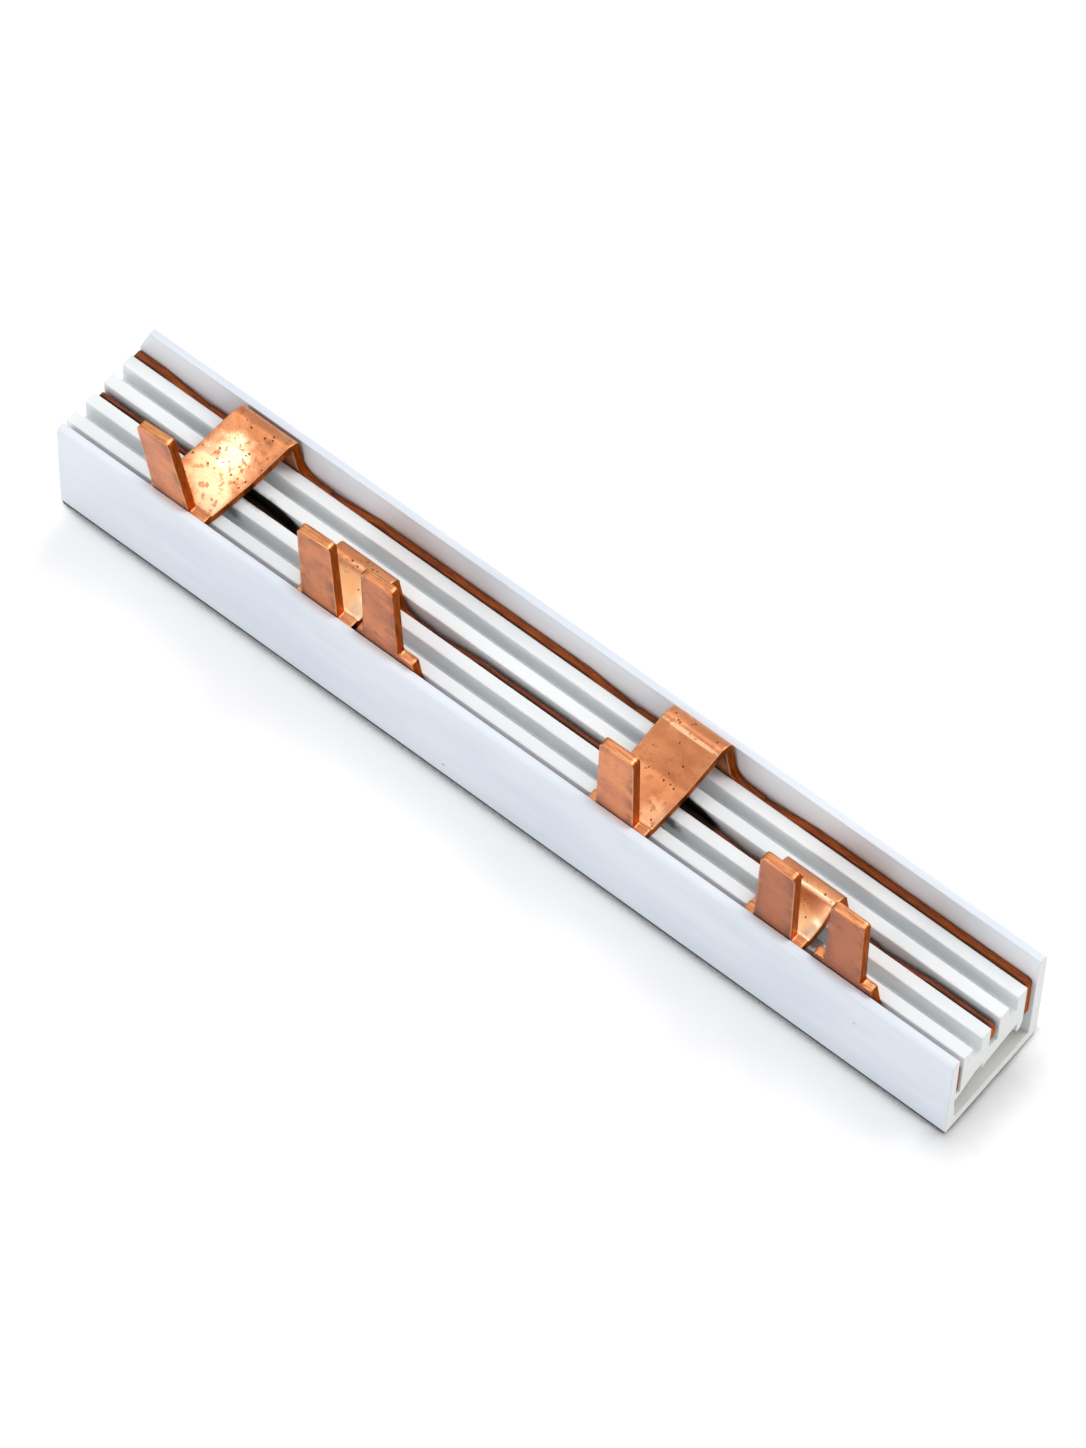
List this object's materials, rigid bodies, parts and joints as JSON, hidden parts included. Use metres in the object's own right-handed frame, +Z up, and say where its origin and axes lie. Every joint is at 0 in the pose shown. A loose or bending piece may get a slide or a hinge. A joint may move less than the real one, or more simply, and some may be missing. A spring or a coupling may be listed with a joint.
{
  "type": "busbar",
  "caption": "Comb busbar: flat copper bars with upright tongues, held apart by a ribbed insert in a white open-topped plastic channel, to feed a row of modular circuit breakers.",
  "frame": {"origin": "middle of the channel's base, on the surface that it lies on", "axes": "+X along the bar, +Y from the low front wall with the tongues to the tall back wall, +Z up along the tongues"},
  "size_m": [0.1076, 0.014, 0.0242],
  "materials": {
    "channel_pvc": "satin white extruded PVC",
    "insert_pvc": "satin white extruded PVC",
    "copper": "bare stamped copper, satin, lightly pitted and scratched"
  },
  "bodies": {
    "root": {"channel": "channel_pvc", "comb_insert": "insert_pvc", "phase_bar_l1": "copper", "phase_bar_l2": "copper", "phase_bar_l3": "copper"}
  },
  "joints": []
}
